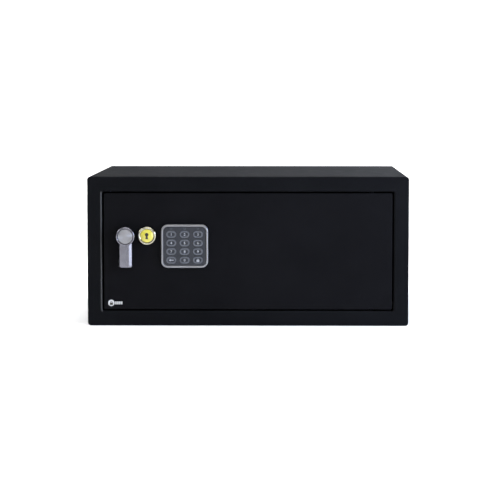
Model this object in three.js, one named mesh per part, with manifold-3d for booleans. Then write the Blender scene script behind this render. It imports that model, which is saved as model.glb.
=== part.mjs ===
// In-room safe for a hotel wardrobe: a folded steel cabinet with a drop-in front frame, a plate
// door on two hidden pins, a turning lever that throws two bolts, a keypad, and a capped key
// cylinder for emergencies.
//
// Millimetres, +Z up. The front faces -Y and +X is to the right when facing it. The origin is the
// middle of the cabinet's underside. The door's own group counts y as depth behind the door's face.

import * as THREE from 'three';
import { mergeVertices } from 'three/addons/utils/BufferGeometryUtils.js';
import Module from 'manifold-3d';

const wasm = await Module();
wasm.setup();

// Cabinet
const BODY_W = 430;
const BODY_D = 350;
const BODY_H = 200;
const SHEET = 2;
const CORNER_R = 4.5;
const GAP = 0.3; // between parts that touch
const FRONT_Y = -BODY_D / 2;
const BACK_Y = BODY_D / 2;
const FRAME_BORDER = 20;
const LIP_DEPTH = 16;
const APERTURE_R = 2.5;
const ANCHOR_R = 6;
const ANCHOR_X = 120;
const MAT_T = 2.5;

// Door
const DOOR_CLEARANCE = 2;
const DOOR_RECESS = 1.5;
const DOOR_T = 4;
const DOOR_Y = FRONT_Y + DOOR_RECESS;
const APERTURE_W = BODY_W - 2 * FRAME_BORDER;
const APERTURE_H = BODY_H - 2 * FRAME_BORDER;
const MID_Z = BODY_H / 2;
const HINGE_X = 165;
const HINGE_DEPTH = 9.3; // hinge axis behind the door's face
const PIN_R = 3;
const ARM_T = 6.5;

// Controls on the face
const KNOB_X = -163;
const KNOB_Z = 121;
const KNOB_R = 12.5;
const LEVER_W = 17.4;
const LEVER_LENGTH = 42.2;
const CAP_X = -135;
const KEYPAD_X = -84.5;
const KEYPAD_Z = 107.2;
const KEYPAD_W = 63;
const KEYPAD_H = 58;
const KEY_PITCH_X = 17.8;
const KEY_PITCH_Z = 11.5;
const KEY_W = 13;
const KEY_H = 8.9;

// Boltwork, as depths behind the door's face
const BOLT_R = 9;
const BOLT_DEPTH = 25.5;
const BOLT_ZS = [60, 140];
const BOLT_TIP_X = -190;
const BOLT_LENGTH = 40;
const THROW = 17;
const CRANK_R = 12;
const WEB_DEPTH = 13.7;
const WEB_T = 2.5;
const STUD_X = -140;
const STUD_ZS = [72, 147];
const STUD_R = 3;
const PLUNGER_X = -104;
const PLUNGER_DEPTH = 15;

// Inner cover and battery compartment
const COVER_LEFT = -188;
const COVER_RIGHT = 40;
const COVER_Z = [34, 166];
const COVER_DEPTH = 40;
const COVER_T = 1.2;
const CELL_R = 7.1;
const CELL_PITCH = 15.2;
const CELL_DEPTH = 30.5;
const BATTERY_X = -15;
const BATTERY_Z = 100;
const RESET_X = 28;
const RESET_Z = 118;

const SIDES = 20; // of a small round piece

const paint = (color, roughness, metalness) => new THREE.MeshStandardMaterial({ color, roughness, metalness });

// A closed geometry as a solid that can be joined and cut.
function solid(geometry) {
  const bare = geometry.clone();
  bare.deleteAttribute('normal');
  bare.deleteAttribute('uv');
  const merged = mergeVertices(bare, 1e-4);
  const index = merged.index.array;
  const triangles = [];
  for (let i = 0; i < index.length; i += 3) {
    const [a, b, c] = index.slice(i, i + 3);
    if (a !== b && b !== c && c !== a) {
      triangles.push(a, b, c);
    }
  }
  const vertProperties = merged.attributes.position.array;
  return new wasm.Manifold(new wasm.Mesh({ numProp: 3, vertProperties, triVerts: new Uint32Array(triangles) }));
}

// The joined and cut solid as a geometry again.
function geometryOf(part) {
  const { vertProperties, triVerts } = part.getMesh();
  const geometry = new THREE.BufferGeometry();
  geometry.setAttribute('position', new THREE.BufferAttribute(vertProperties, 3));
  geometry.setIndex(new THREE.BufferAttribute(triVerts, 1));
  return geometry;
}

const cut = (body, ...tools) => tools.reduce((rest, tool) => rest.subtract(solid(tool)), body);
const join = (body, ...more) => more.reduce((sum, piece) => sum.add(solid(piece)), body);

// A rounded rectangle, centred, as an outline or as a hole.
function roundedRect(width, height, radius, path = new THREE.Shape()) {
  const x = width / 2 - radius;
  const y = height / 2 - radius;
  path.absarc(x, y, radius, 0, Math.PI / 2);
  path.absarc(-x, y, radius, Math.PI / 2, Math.PI);
  path.absarc(-x, -y, radius, Math.PI, 1.5 * Math.PI);
  path.absarc(x, -y, radius, 1.5 * Math.PI, 2 * Math.PI);
  return path;
}

// An outline drawn as seen from the front, filled from front to back along Y.
function slab(shape, front, back, segments = 2) {
  const options = { depth: back - front, bevelEnabled: false, curveSegments: segments };
  const geometry = new THREE.ExtrudeGeometry(shape, options);
  geometry.rotateX(Math.PI / 2);
  return geometry.translate(0, back, 0);
}

// The same with every edge bevelled; the outline grows by the bevel between its two faces.
function bevelledSlab(shape, front, back, bevel, steps = 2, segments = 2) {
  const options = {
    depth: back - front - 2 * bevel,
    bevelThickness: bevel,
    bevelSize: bevel,
    bevelSegments: steps,
    curveSegments: segments,
  };
  const geometry = new THREE.ExtrudeGeometry(shape, options);
  geometry.rotateX(Math.PI / 2);
  return geometry.translate(0, back - bevel, 0);
}

function block([x0, x1], [y0, y1], [z0, z1]) {
  const geometry = new THREE.BoxGeometry(x1 - x0, y1 - y0, z1 - z0);
  return geometry.translate((x0 + x1) / 2, (y0 + y1) / 2, (z0 + z1) / 2);
}

// Round bars along each axis, centred on the axis.
function rodY(radius, front, back, sides = SIDES) {
  return new THREE.CylinderGeometry(radius, radius, back - front, sides).translate(0, (front + back) / 2, 0);
}

function rodZ(radius, low, high, sides = SIDES) {
  const geometry = new THREE.CylinderGeometry(radius, radius, high - low, sides);
  return geometry.rotateX(Math.PI / 2).translate(0, 0, (low + high) / 2);
}

function rodX(radius, left, right, sides = SIDES) {
  const geometry = new THREE.CylinderGeometry(radius, radius, right - left, sides);
  return geometry.rotateZ(Math.PI / 2).translate((left + right) / 2, 0, 0);
}

// A turned piece about the Y axis from [radius, y] pairs.
function turned(profile, sides = SIDES) {
  return new THREE.LatheGeometry(profile.map(([radius, y]) => new THREE.Vector2(radius, y)), sides);
}

function mesh(name, body, material, [x, y, z] = [0, 0, 0]) {
  const geometry = body.isBufferGeometry ? body : geometryOf(body);
  const part = new THREE.Mesh(geometry, material);
  part.name = name;
  part.position.set(x, y, z);
  return part;
}

const BLACK_PAINT = () => paint(0x1a1b1e, 0.55, 0.1);
const STEEL = () => paint(0x9b9ea1, 0.35, 1);
const CHROME = () => paint(0xc9c9cd, 0.15, 1);
const DARK_PLASTIC = () => paint(0x3c404a, 0.5, 0);

// ---------------------------------------------------------------- cabinet

// The sides, top and base, folded from one sheet, with two anchor holes in the base.
function bodyWrap() {
  const outline = roundedRect(BODY_W, BODY_H, CORNER_R);
  outline.holes.push(roundedRect(BODY_W - 2 * SHEET, BODY_H - 2 * SHEET, CORNER_R - SHEET, new THREE.Path()));
  const tube = slab(outline, FRONT_Y + 2 * SHEET, BACK_Y).translate(0, 0, MID_Z);
  const holes = [-ANCHOR_X, ANCHOR_X].map((x) => rodZ(ANCHOR_R, -SHEET, 2 * SHEET).translate(x, 0, 0));
  return mesh('body_wrap', cut(solid(tube), ...holes), BLACK_PAINT());
}

// The folded front: a face with rolled edges, an outer skirt and a return lip round the opening.
function frontFrame() {
  const roll = 1;
  const skirtEnd = FRONT_Y + 2 * SHEET - GAP;
  const outline = roundedRect(BODY_W - 2 * roll, BODY_H - 2 * roll, CORNER_R - roll);
  const blank = solid(bevelledSlab(outline, FRONT_Y, skirtEnd + 3, roll));
  const kept = solid(block([-BODY_W, BODY_W], [FRONT_Y - 1, skirtEnd], [-BODY_H, BODY_H]));
  const hollow = slab(roundedRect(BODY_W - 2 * SHEET, BODY_H - 2 * SHEET, CORNER_R - SHEET), FRONT_Y + SHEET, 0);
  const lip = slab(roundedRect(APERTURE_W + 2 * SHEET, APERTURE_H + 2 * SHEET, APERTURE_R + SHEET),
    FRONT_Y + SHEET / 2, FRONT_Y + LIP_DEPTH);
  const opening = roundedRect(APERTURE_W, APERTURE_H, APERTURE_R);
  const edge = 1.5;
  const face = cut(blank.intersect(kept), hollow);
  const rolled = bevelledSlab(opening, FRONT_Y - 3 * edge, FRONT_Y + edge, edge, 1);
  const ring = cut(join(face, lip), slab(opening, FRONT_Y - 1, 0), rolled);
  const pinHoles = [-1, 1].map((side) => rodZ(PIN_R + GAP, -5, 5)
    .translate(HINGE_X, DOOR_Y + HINGE_DEPTH, side * (APERTURE_H / 2 + SHEET / 2)));
  return mesh('front_frame', cut(ring, ...pinHoles), BLACK_PAINT(), [0, 0, MID_Z]);
}

// The rear wall, let into the wrap, with two anchor holes.
function backPanel() {
  const inset = 2 * (SHEET + GAP);
  const plate = solid(slab(roundedRect(BODY_W - inset, BODY_H - inset, CORNER_R - SHEET), -SHEET, 0));
  const holes = [-ANCHOR_X, ANCHOR_X].map((x) => rodY(ANCHOR_R, -2 * SHEET, SHEET).translate(x, 0, 0));
  return mesh('back_panel', cut(plate, ...holes), BLACK_PAINT(), [0, BACK_Y, MID_Z]);
}

// A loose felt mat on the floor of the cabinet, punched over the anchor holes.
function floorMat() {
  const [width, depth] = [418, 320];
  const options = { depth: MAT_T, bevelEnabled: false, curveSegments: 2 };
  const sheet = solid(new THREE.ExtrudeGeometry(roundedRect(width, depth, 4), options));
  const middle = BACK_Y - SHEET - 2 - depth / 2;
  const holes = [-ANCHOR_X, ANCHOR_X].map((x) => rodZ(ANCHOR_R + 2, -1, MAT_T + 1).translate(x, -middle, 0));
  return mesh('floor_mat', cut(sheet, ...holes), paint(0x4a4b4f, 0.95, 0), [0, middle, SHEET + GAP]);
}

// A steel block behind the frame's lip that holds a hinge pin, and the pin through it. Side is 1
// for the upper pair and -1 for the lower.
function hingePair(name, side) {
  const place = [HINGE_X, DOOR_Y + HINGE_DEPTH, MID_Z + side * (APERTURE_H / 2 + SHEET)];
  const front = FRONT_Y + SHEET + GAP - place[1];
  const span = (near, far) => [side * near, side * far].sort((a, b) => a - b);
  const holder = cut(solid(block([-12, 12], [front, 6], span(GAP, 8))), rodZ(PIN_R + GAP, -9, 9));
  return [
    mesh(`hinge_block_${name}`, holder, STEEL(), place),
    mesh(`hinge_pin_${name}`, rodZ(PIN_R, ...span(-13, 8)), STEEL(), place),
  ];
}

// ------------------------------------------------------------------- door

// The 4 mm door plate with its front edge eased, cut for the spindle, cylinder, lead and screws.
function doorPlate(screws) {
  const ease = 0.8;
  const width = APERTURE_W - 2 * DOOR_CLEARANCE;
  const height = APERTURE_H - 2 * DOOR_CLEARANCE;
  const outline = roundedRect(width - 2 * ease, height - 2 * ease, APERTURE_R - ease);
  const blank = solid(bevelledSlab(outline, 0, DOOR_T + 3, ease).translate(0, 0, MID_Z));
  const kept = solid(block([-BODY_W, BODY_W], [-1, DOOR_T], [0, BODY_H]));
  const spindleHole = rodY(6.3, -1, DOOR_T + 1).translate(KNOB_X, 0, KNOB_Z);
  const cylinderHole = rodY(10, -1, DOOR_T + 1).translate(CAP_X, 0, KNOB_Z);
  const leadHole = rodY(5, -1, DOOR_T + 1).translate(KEYPAD_X + 19, 0, KEYPAD_Z - 14);
  const screwHoles = screws.map(([x, z]) => rodY(2.3, 1.2, DOOR_T + 1, 12).translate(x, 0, z));
  return mesh('door_plate', cut(blank.intersect(kept), spindleHole, cylinderHole, leadHole, ...screwHoles),
    BLACK_PAINT());
}

// A welded arm behind the plate, bored for its hinge pin.
function hingeArm(name, lowZ) {
  const depth = 11.7;
  const options = { depth: ARM_T, bevelEnabled: false, curveSegments: 2 };
  const bar = new THREE.ExtrudeGeometry(roundedRect(32, depth, 2), options);
  bar.translate(4, DOOR_T + GAP + depth / 2 - HINGE_DEPTH, 0);
  const bored = cut(solid(bar), rodZ(PIN_R + GAP, -1, ARM_T + 1));
  return mesh(`hinge_arm_${name}`, bored, STEEL(), [HINGE_X, HINGE_DEPTH, lowZ]);
}

// The bent bracket at the door's free edge that the bolts slide through.
function boltGuide() {
  const [low, high] = [44, 156];
  const wall = solid(block([-184, -181.5], [DOOR_T + GAP, COVER_DEPTH - COVER_T - GAP], [low, high]));
  const foot = block([-184, -170], [DOOR_T + GAP, DOOR_T + GAP + 2.5], [low, high]);
  const holes = BOLT_ZS.map((z) => rodX(BOLT_R + 0.4, -190, -175).translate(0, BOLT_DEPTH, z));
  return mesh('bolt_guide', cut(join(wall, foot), ...holes), STEEL());
}

// The sheet box over the mechanism, with flanges, bolt holes, a battery window and a reset hole.
function lockCover(screws) {
  const [low, high] = COVER_Z;
  const back = COVER_DEPTH;
  const shell = solid(block([COVER_LEFT, COVER_RIGHT], [DOOR_T + GAP, back], [low, high]));
  const flange = 10;
  const flanges = block([COVER_LEFT, COVER_RIGHT], [DOOR_T + GAP, DOOR_T + GAP + COVER_T],
    [low - flange, high + flange]);
  const inside = block([COVER_LEFT + COVER_T, COVER_RIGHT - COVER_T], [0, back - COVER_T],
    [low + COVER_T, high - COVER_T]);
  const boltHoles = BOLT_ZS.map((z) => rodX(BOLT_R + 0.8, COVER_LEFT - 5, COVER_LEFT + 5)
    .translate(0, BOLT_DEPTH, z));
  const window = block([BATTERY_X - 30, BATTERY_X + 30], [back - 5, back + 5], [BATTERY_Z - 28, BATTERY_Z + 28]);
  const resetHole = rodY(3.4, back - 5, back + 5).translate(RESET_X, 0, RESET_Z);
  const screwHoles = screws.map(([x, z]) => rodY(2.3, 0, 10, 12).translate(x, 0, z));
  return mesh('lock_cover', cut(join(shell, flanges), inside, window, resetHole, ...boltHoles, ...screwHoles),
    BLACK_PAINT());
}

// A pan-head screw through a cover flange into the door plate.
function coverScrew(number, x, z) {
  const seat = DOOR_T + GAP + COVER_T + GAP;
  const profile = [[0, 1.6], [2, 1.6], [2, seat], [3.6, seat], [3.6, seat + 1.4], [0, seat + 2.2]];
  return mesh(`cover_screw_${number}`, turned(profile, 12), STEEL(), [x, 0, z]);
}

// -------------------------------------------------------------- boltwork

// The flat carriage that joins both bolts: crank slot, two guide slots and a blocking lug.
function boltCarriage() {
  const left = BOLT_TIP_X + 26;
  const outline = new THREE.Shape();
  const corners = [
    [left, 48], [-147.2, 48], [-147.2, 62], [-92, 62], [-92, 80], [-93.5, 80], [-93.5, 87], [-99.5, 87],
    [-99.5, 80], [-147.2, 80], [-147.2, 138], [-116, 138], [-116, 156], [left, 156],
  ];
  outline.setFromPoints(corners.map(([x, z]) => new THREE.Vector2(x, z)));
  const plate = solid(slab(outline, WEB_DEPTH, WEB_DEPTH + WEB_T));
  const crankX = KNOB_X + CRANK_R * Math.SQRT1_2;
  const crankSlot = slab(roundedRect(7.4, 13, 3.6), 0, 30).translate(crankX, 0, KNOB_Z - 10.3);
  const guideSlots = STUD_ZS.map((z) => slab(roundedRect(THROW + 6.6, 6.8, 3.3), 0, 30)
    .translate(STUD_X + THROW / 2, 0, z));
  return mesh('bolt_carriage', cut(plate, crankSlot, ...guideSlots), STEEL());
}

// A round bolt with a chamfered tip.
function bolt(name, z) {
  const chamfer = 1.5;
  const profile = [[0, 0], [BOLT_R - chamfer, 0], [BOLT_R, chamfer], [BOLT_R, BOLT_LENGTH], [0, BOLT_LENGTH]];
  const part = mesh(`bolt_${name}`, turned(profile, 24), STEEL(), [BOLT_TIP_X, BOLT_DEPTH, z]);
  part.rotation.z = -Math.PI / 2;
  return part;
}

// A shouldered stud on the plate that the carriage slides along.
function guideStud(name, z) {
  const head = WEB_DEPTH + WEB_T + GAP;
  const profile = [[0, DOOR_T + GAP], [STUD_R, DOOR_T + GAP], [STUD_R, head], [5, head], [5, head + 2], [0, head + 2]];
  return mesh(`guide_stud_${name}`, turned(profile, 16), STEEL(), [STUD_X, 0, z]);
}

// ------------------------------------------------------------------- knob

// The flanged bush in the door that the spindle turns in.
function spindleBush() {
  const profile = [[4.3, -2.8], [11, -2.8], [11, -GAP], [6, -GAP], [6, 6.5], [4.3, 6.5], [4.3, -2.8]];
  return mesh('spindle_bush', turned(profile), CHROME());
}

// The cast hub and lever, bevelled along the lever, bored from behind for the spindle.
function knobHandle() {
  const bevel = 2;
  const radius = 2.5;
  const lever = new THREE.Shape();
  const half = LEVER_W / 2 - bevel;
  const end = -LEVER_LENGTH + bevel;
  lever.moveTo(-half, 0);
  lever.lineTo(-half, end + radius);
  lever.absarc(-half + radius, end + radius, radius, Math.PI, 1.5 * Math.PI);
  lever.absarc(half - radius, end + radius, radius, 1.5 * Math.PI, 2 * Math.PI);
  lever.lineTo(half, 0);
  const hub = turned([[0, -17.4], [KNOB_R - 2.2, -17.4], [KNOB_R - 1.6, -19], [KNOB_R - 0.6, -19],
    [KNOB_R, -18.2], [KNOB_R, -3.1], [0, -3.1]], 28);
  const blade = bevelledSlab(lever, -17, -7, bevel);
  const bore = rodY(4.3, -15.8, 0);
  const seat = rodY(KNOB_R - 2.2, -25, -17.4, 28);
  return mesh('knob_handle', cut(join(solid(hub), blade), seat, bore), CHROME());
}

// The turned disc let into the hub.
function knobFace() {
  const profile = [[0, -18.3], [9.2, -18.3], [9.9, -17.9], [9.9, -17.7], [0, -17.7]];
  return mesh('knob_face', turned(profile, 28), STEEL());
}

function knobSpindle() {
  return mesh('knob_spindle', rodY(4, -15.5, 11, 20), STEEL());
}

// The disc on the spindle's inner end, with the crank pin that drives the carriage.
function camDisc() {
  const disc = solid(rodY(17, 8, 11, 32));
  const pin = rodY(3, 10, 18, 20).translate(CRANK_R * Math.SQRT1_2, 0, -CRANK_R * Math.SQRT1_2);
  return mesh('cam_disc', cut(join(disc, pin), rodY(4.3, 5, 12, 20)), STEEL());
}

function knobGroup() {
  const group = new THREE.Group();
  group.position.set(KNOB_X, 0, KNOB_Z);
  group.add(spindleBush(), knobHandle(), knobFace(), knobSpindle(), camDisc());
  return group;
}

// ------------------------------------------------- emergency key cylinder

// The bright ring on the door's face that the cap clips into.
function capRing() {
  const profile = [[9.8, -GAP], [9.8, -2], [9, -2], [9, -5], [9.4, -5.6], [11.6, -5.6], [12.4, -4.9], [12.4, -GAP],
    [9.8, -GAP]];
  return mesh('cap_ring', turned(profile, 28), CHROME());
}

// The domed cap over the keyhole.
function overrideCap() {
  const dome = [[0, -7], [4, -6.6], [7, -5.8], [8.6, -4.6]];
  return mesh('override_cap', turned([...dome, [8.6, -2.6], [0, -2.6]], 24), paint(0xe6dc5a, 0.3, 0));
}

function keyCylinder() {
  const profile = [[6.4, -1.6], [9.4, -1.6], [9.4, 22], [6.4, 22], [6.4, -1.6]];
  return mesh('key_cylinder', turned(profile), paint(0xb59a55, 0.35, 1));
}

function cylinderNut() {
  const nut = cut(solid(rodY(12.7, DOOR_T + GAP, DOOR_T + GAP + 3.2, 6)), rodY(9.8, 0, 20));
  return mesh('cylinder_nut', nut, STEEL());
}

// The turning plug with its keyway, and the cam that it swings inside.
function keyPlug() {
  const plug = solid(rodY(6, -1.6, 25));
  const cam = slab(roundedRect(9, 22, 4), 22.4, 25).translate(0, 0, 5.5);
  const keyway = block([-1.2, 1.2], [-5, 12], [-4, 4]);
  return mesh('key_plug', cut(join(plug, cam), keyway), paint(0xc2a865, 0.3, 1));
}

function cylinderGroup() {
  const group = new THREE.Group();
  group.position.set(CAP_X, 0, KNOB_Z);
  group.add(capRing(), overrideCap(), keyCylinder(), cylinderNut(), keyPlug());
  return group;
}

// ----------------------------------------------------------------- keypad

const KEYS = [
  ['key_1', 'key_2', 'key_3'],
  ['key_4', 'key_5', 'key_6'],
  ['key_7', 'key_8', 'key_9'],
  ['key_clear', 'key_0', 'key_lock'],
];
const keyPlace = (row, column) => [(column - 1) * KEY_PITCH_X, 15.9 - row * KEY_PITCH_Z];
const LED_Z = 23.3;
const WINDOW = [52, 49.4]; // clear opening behind the panel

const pill = (width, height) => roundedRect(width, height, height / 2 - 0.05);

// The bright surround, with a ledge inside that carries the panel.
function keypadBezel() {
  const roll = 1;
  const outline = roundedRect(KEYPAD_W - 2 * roll, KEYPAD_H - 2 * roll, 8);
  const blank = solid(bevelledSlab(outline, -6.5, 3, roll));
  const kept = solid(block([-50, 50], [-10, -GAP], [-50, 50]));
  const recess = slab(roundedRect(KEYPAD_W - 6.2, KEYPAD_H - 6.2, 6), -10, -3.3);
  const through = slab(roundedRect(...WINDOW, 4), -10, 5);
  return mesh('keypad_bezel', cut(blank.intersect(kept), recess, through), CHROME());
}

// The dark fascia with a hole for each key and each lamp.
function keypadPanel() {
  const plate = solid(slab(roundedRect(KEYPAD_W - 6.8, KEYPAD_H - 6.8, 5.7), -5.4, -3.6));
  const keyHoles = KEYS.flatMap((names, row) => names.map((_, column) => {
    const [x, z] = keyPlace(row, column);
    return slab(pill(KEY_W + 0.6, KEY_H + 0.6), -8, 0, 1).translate(x, 0, z);
  }));
  const lampHoles = [-1, 0, 1].map((side) => slab(pill(3.6, 1.6), -8, 0, 1).translate(side * KEY_PITCH_X, 0, LED_Z));
  return mesh('keypad_panel', cut(plate, ...keyHoles, ...lampHoles), DARK_PLASTIC());
}

// One pill-shaped key, with the flange behind the fascia that keeps it in.
function keypadKey(name, [x, z]) {
  const cap = solid(bevelledSlab(pill(KEY_W - 0.8, KEY_H - 0.8), -6.1, -2.9, 0.4, 1, 1));
  const key = join(cap, slab(pill(KEY_W + 1.4, KEY_H + 1.2), -3.3, -2.6, 1));
  return mesh(name, key, paint(0x2b2e36, 0.45, 0), [x, 0, z]);
}

// The clear bar that carries light to three marks in the fascia.
function lightPipe() {
  const bar = solid(block([-21, 21], [-3.3, -2.6], [LED_Z - 0.9, LED_Z + 0.9]));
  const tips = [-1, 0, 1].map((side) => slab(pill(3, 1), -5.3, -3, 1).translate(side * KEY_PITCH_X, 0, LED_Z));
  return mesh('light_pipe', join(bar, ...tips), paint(0x9aa0a8, 0.2, 0));
}

function keypadBoard() {
  const [width, height] = WINDOW;
  return mesh('keypad_board', slab(roundedRect(width - 0.8, height - 0.8, 3.5), -1.3, -0.4), paint(0x1f5a35, 0.5, 0));
}

function keypadGroup() {
  const group = new THREE.Group();
  group.position.set(KEYPAD_X, 0, KEYPAD_Z);
  group.add(keypadBezel(), keypadPanel(), lightPipe(), keypadBoard());
  KEYS.forEach((names, row) => names.forEach((name, column) => {
    group.add(keypadKey(name, keyPlace(row, column)));
  }));
  return group;
}

// --------------------------------------------------------------- solenoid

// The U-shaped yoke, the wound coil, the plunger that blocks the carriage, and its spring.
function solenoidGroup() {
  const [low, high] = [103, 130];
  const yoke = cut(
    solid(block([-12, 12], [DOOR_T + GAP - PLUNGER_DEPTH, 11], [low, high])),
    block([-13, 13], [DOOR_T + GAP + 1.5 - PLUNGER_DEPTH, 12], [low + 1.5, high - 1.5]),
    rodZ(3.9, low - 5, high + 5),
  );
  const coil = cut(solid(rodZ(8.8, low + 1.8, high - 1.8)), rodZ(3.9, low, high));
  const plunger = turned([[0, 0], [2.4, 0], [3.5, 1.2], [3.5, 6], [5.8, 6], [5.8, 8], [3.5, 8], [3.5, 46], [0, 46]]);
  plunger.rotateX(Math.PI / 2);
  const group = new THREE.Group();
  group.position.set(PLUNGER_X, PLUNGER_DEPTH, 0);
  group.add(
    mesh('solenoid_frame', yoke, STEEL()),
    mesh('solenoid_coil', coil, paint(0x7a3f22, 0.4, 0.3)),
    mesh('solenoid_plunger', plunger, STEEL(), [0, 0, 88]),
    plungerSpring(96.8, low - 0.8),
  );
  return group;
}

class Helix extends THREE.Curve {
  constructor(radius, low, high, turns) {
    super();
    Object.assign(this, { radius, low, high, turns });
  }

  getPoint(t, target = new THREE.Vector3()) {
    const angle = 2 * Math.PI * this.turns * t;
    const height = THREE.MathUtils.lerp(this.low, this.high, t);
    return target.set(this.radius * Math.cos(angle), this.radius * Math.sin(angle), height);
  }
}

function plungerSpring(low, high) {
  const turns = 3;
  const wire = new THREE.Shape().absarc(0, 0, 0.45, 0, 2 * Math.PI);
  const path = new Helix(4.9, low, high, turns);
  const options = { steps: 30, extrudePath: path, curveSegments: 3, bevelEnabled: false };
  return mesh('plunger_spring', new THREE.ExtrudeGeometry(wire, options), STEEL());
}

// ---------------------------------------------------------------- battery

const CELL_LENGTH = 50.3;
const TRAY = { width: 64, height: 61, front: 21.5, back: COVER_DEPTH - COVER_T - GAP, wall: 1.5 };

// The moulded tray for four cells, with the reset switch's block on its right.
function batteryBox() {
  const { width, height, front, back, wall } = TRAY;
  const x = width / 2;
  const z = height / 2;
  const resetX = RESET_X - BATTERY_X;
  const resetZ = RESET_Z - BATTERY_Z;
  const tray = solid(block([-x, x], [front, back], [-z, z]));
  const switchBlock = block([x - wall, resetX + 7], [front, 34.5], [resetZ - 7, resetZ + 7]);
  const inside = block([-x + wall, x - wall], [front + wall, back + 1], [-z + wall, z - wall]);
  const bore = rodY(3.4, front + 3, 50).translate(resetX, 0, resetZ);
  const body = cut(join(tray, switchBlock), inside, bore);
  return mesh('battery_box', body, paint(0x202124, 0.5, 0));
}

// The plate that closes the battery window, stepped to sit in it.
function batteryCover() {
  const back = COVER_DEPTH + GAP;
  const plate = solid(slab(roundedRect(66, 63, 3), back, back + 1.8));
  const step = slab(roundedRect(59, 55, 2), back - 1.4, back + 0.5);
  return mesh('battery_cover', join(plate, step), paint(0x202124, 0.5, 0));
}

// A size AA cell; every second one stands the other way up.
function cell(number) {
  const shoulder = CELL_LENGTH - 1.3;
  const profile = [[0, 0], [CELL_R, 0], [CELL_R, shoulder], [2.6, shoulder], [2.6, CELL_LENGTH], [0, CELL_LENGTH]];
  const up = number % 2 === 0;
  const x = (number - 1.5) * CELL_PITCH;
  const part = mesh(`cell_${number + 1}`, turned(profile), paint(0x2f4d8c, 0.35, 0.2), [x, CELL_DEPTH, 0]);
  part.rotation.x = up ? Math.PI / 2 : -Math.PI / 2;
  part.position.z = up ? -CELL_LENGTH / 2 : CELL_LENGTH / 2;
  return part;
}

function batteryGroup() {
  const group = new THREE.Group();
  group.position.set(BATTERY_X, 0, BATTERY_Z);
  group.add(batteryBox(), batteryCover(), cell(0), cell(1), cell(2), cell(3));
  return group;
}

// The small button beside the batteries that lets a new code be set.
function resetButton() {
  const profile = [[0, 28], [3, 28], [3, 36.4], [4.4, 36.4], [4.4, 37.6], [3, 37.6], [3, 41.2], [0, 41.2]];
  return mesh('reset_button', turned(profile, 20), paint(0xb02020, 0.4, 0), [RESET_X, 0, RESET_Z]);
}

// The twin lead from the battery tray through the door plate to the keypad board.
function batteryLead() {
  const left = BATTERY_X - TRAY.width / 2 - GAP;
  const boardX = KEYPAD_X + 19;
  const boardZ = KEYPAD_Z - 14;
  const route = new THREE.CatmullRomCurve3([
    new THREE.Vector3(left, 28, 80),
    new THREE.Vector3(left - 8, 26, 80),
    new THREE.Vector3(boardX - 3, 18, 84),
    new THREE.Vector3(boardX, 8, boardZ),
    new THREE.Vector3(boardX, 0, boardZ),
  ]);
  const section = new THREE.Shape().absarc(0, 0, 1.2, 0, 2 * Math.PI);
  const options = { steps: 16, extrudePath: route, curveSegments: 4, bevelEnabled: false };
  return mesh('battery_lead', new THREE.ExtrudeGeometry(section, options), paint(0x8c1c1c, 0.6, 0));
}

// --------------------------------------------------------------- assembly

const cabinet = new THREE.Group();
cabinet.add(bodyWrap(), frontFrame(), backPanel(), floorMat());
cabinet.add(...hingePair('upper', 1), ...hingePair('lower', -1));

const screwPlaces = [-172, 24].flatMap((x) => [COVER_Z[0] - 4.5, COVER_Z[1] + 4.5].map((z) => [x, z]));
const door = new THREE.Group();
door.position.set(0, DOOR_Y, 0);
door.add(doorPlate(screwPlaces), hingeArm('upper', 170.5), hingeArm('lower', 23), boltGuide());
door.add(lockCover(screwPlaces), ...screwPlaces.map(([x, z], i) => coverScrew(i + 1, x, z)));
door.add(boltCarriage(), bolt('lower', BOLT_ZS[0]), bolt('upper', BOLT_ZS[1]));
door.add(guideStud('lower', STUD_ZS[0]), guideStud('upper', STUD_ZS[1]));
door.add(knobGroup(), cylinderGroup(), keypadGroup(), solenoidGroup());
door.add(batteryGroup(), resetButton(), batteryLead());

const safe = new THREE.Group();
safe.add(cabinet, door);

export default safe;
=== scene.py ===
from math import cos, pi, radians, sin

import bmesh
import bpy
from mathutils import Matrix, Vector


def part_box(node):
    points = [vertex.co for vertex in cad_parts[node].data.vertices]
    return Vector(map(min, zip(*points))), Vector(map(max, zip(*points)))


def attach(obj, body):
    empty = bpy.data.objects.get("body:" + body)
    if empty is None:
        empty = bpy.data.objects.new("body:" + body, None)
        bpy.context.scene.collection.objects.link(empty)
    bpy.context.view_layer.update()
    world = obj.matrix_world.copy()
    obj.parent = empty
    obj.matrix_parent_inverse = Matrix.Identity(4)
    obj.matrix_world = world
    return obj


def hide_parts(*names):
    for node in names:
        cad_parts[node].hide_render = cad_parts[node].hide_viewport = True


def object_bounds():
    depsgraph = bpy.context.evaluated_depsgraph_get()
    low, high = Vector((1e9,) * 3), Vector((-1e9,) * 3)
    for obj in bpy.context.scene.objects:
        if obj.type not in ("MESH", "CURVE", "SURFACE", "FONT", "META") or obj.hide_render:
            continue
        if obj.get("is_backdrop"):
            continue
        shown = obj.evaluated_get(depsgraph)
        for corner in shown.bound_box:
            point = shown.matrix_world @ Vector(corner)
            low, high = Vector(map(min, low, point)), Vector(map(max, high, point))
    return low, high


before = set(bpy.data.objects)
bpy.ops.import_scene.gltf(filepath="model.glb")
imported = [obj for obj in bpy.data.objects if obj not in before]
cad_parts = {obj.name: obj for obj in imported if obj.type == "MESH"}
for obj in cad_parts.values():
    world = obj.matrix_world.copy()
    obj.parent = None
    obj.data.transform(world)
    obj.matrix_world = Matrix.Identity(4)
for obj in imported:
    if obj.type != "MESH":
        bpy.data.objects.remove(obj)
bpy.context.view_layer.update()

# The camera stands about two and a half metres in front of the safe, a little right of centre
# and just above its top, with a long lens that keeps the uprights parallel.
MM = 0.001
frame_low, frame_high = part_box("front_frame")
FACE_Y = frame_low.y

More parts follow.
